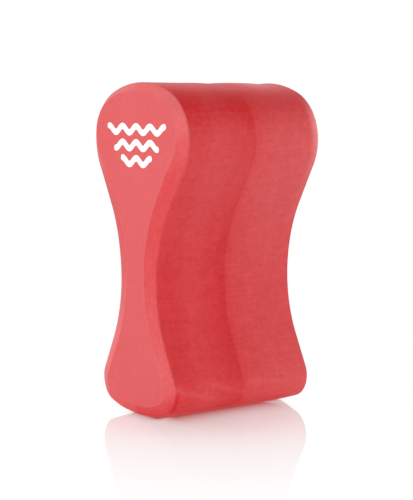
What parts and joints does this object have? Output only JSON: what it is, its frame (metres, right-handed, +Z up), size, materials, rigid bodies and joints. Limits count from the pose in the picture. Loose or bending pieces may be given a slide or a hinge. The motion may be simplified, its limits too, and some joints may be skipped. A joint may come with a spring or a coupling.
{
  "type": "pull buoy",
  "caption": "Hourglass foam float held between a swimmer's thighs, cut from bonded slabs, with bevelled end faces and a printed wave mark.",
  "frame": {"origin": "centre of the base land, on the surface the float stands on", "axes": "+Z up from the small lobe to the large lobe, X across the width from the printed end face at -X to the plain end face at +X, Y through the thickness between the two thigh hollows"},
  "size_m": [0.1256, 0.1116, 0.235],
  "materials": {
    "foam_print_side": "matte closed-cell foam, cut and lightly skinned",
    "foam_far_side": "matte closed-cell foam, cut and lightly skinned",
    "adhesive_film": "dried contact adhesive",
    "print_white": "satin printed ink"
  },
  "bodies": {
    "root": {"foam_slab_print_side": "foam_print_side", "foam_slab_far_side": "foam_far_side", "glue_film": "adhesive_film", "wave_print_upper": "print_white", "wave_print_middle": "print_white", "wave_print_lower": "print_white"}
  },
  "joints": []
}
